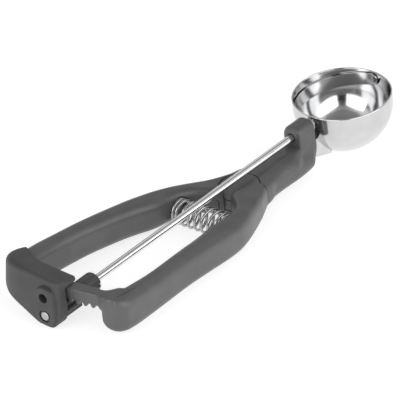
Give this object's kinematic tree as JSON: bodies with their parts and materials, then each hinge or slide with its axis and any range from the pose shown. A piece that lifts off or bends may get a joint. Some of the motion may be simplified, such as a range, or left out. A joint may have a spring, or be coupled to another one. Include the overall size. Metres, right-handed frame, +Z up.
{
  "type": "ice cream scoop",
  "caption": "Lever ice cream scoop: squeezing two sprung handles turns a curved blade round inside a round steel bowl through a rack, a pinion and a long shaft.",
  "frame": {"origin": "centre of the footprint's bounding box, on the table the scoop rests on", "axes": "+X towards the bowl, +Y towards the fixed handle, +Z up. The drive shaft runs in the X-Z plane and rises towards the bowl by 4.4 degrees, because the scoop rests on its bowl and on the rear bottom edge of its gear housing."},
  "size_m": [0.2364, 0.0719, 0.0285],
  "materials": {
    "polished_steel": "polished stainless steel",
    "dull_steel": "plain steel",
    "grip": "dark grey, satin",
    "block": "dark grey, fine matt texture",
    "gear": "black moulding"
  },
  "bodies": {
    "frame": {"bowl": "polished_steel", "bowl_tang": "polished_steel", "tang_screw": "dull_steel", "blade_rivet": "polished_steel", "front_bushing": "polished_steel", "neck_housing": "grip", "neck_screws": "dull_steel", "fixed_handle": "grip", "gear_housing": "block", "housing_screws": "dull_steel", "hinge_pin": "polished_steel", "hinge_sleeve": "dull_steel", "hinge_washers": "dull_steel", "return_spring": "polished_steel", "blade_washers": "dull_steel", "thrust_washer": "dull_steel"},
    "lever": {"lever_handle": "grip", "rack_arm": "grip"},
    "sweeper": {"drive_shaft": "polished_steel", "sweep_blade": "polished_steel", "shaft_clip": "dull_steel", "pinion_gear": "gear", "drive_pin": "polished_steel"}
  },
  "joints": [
    {"name": "lever_squeeze", "type": "hinge", "parent": "frame", "child": "lever", "pos_m": [0.02034, 0.00075, 0.00653], "axis": [0.0774, 0, -0.997], "range_deg": [0, 6.5], "stiffness_Nm_per_rad": 3, "springref_deg": -5.73, "deforming": ["return_spring"]},
    {"name": "blade_sweep", "type": "hinge", "parent": "frame", "child": "sweeper", "pos_m": [-0.00541, 0.00075, 0.01526], "axis": [-0.997, 0, -0.0774], "range_deg": [0, 162]}
  ],
  "couplings": [
    {"joint": "blade_sweep", "follows": "lever_squeeze", "ratio": 24.702}
  ]
}
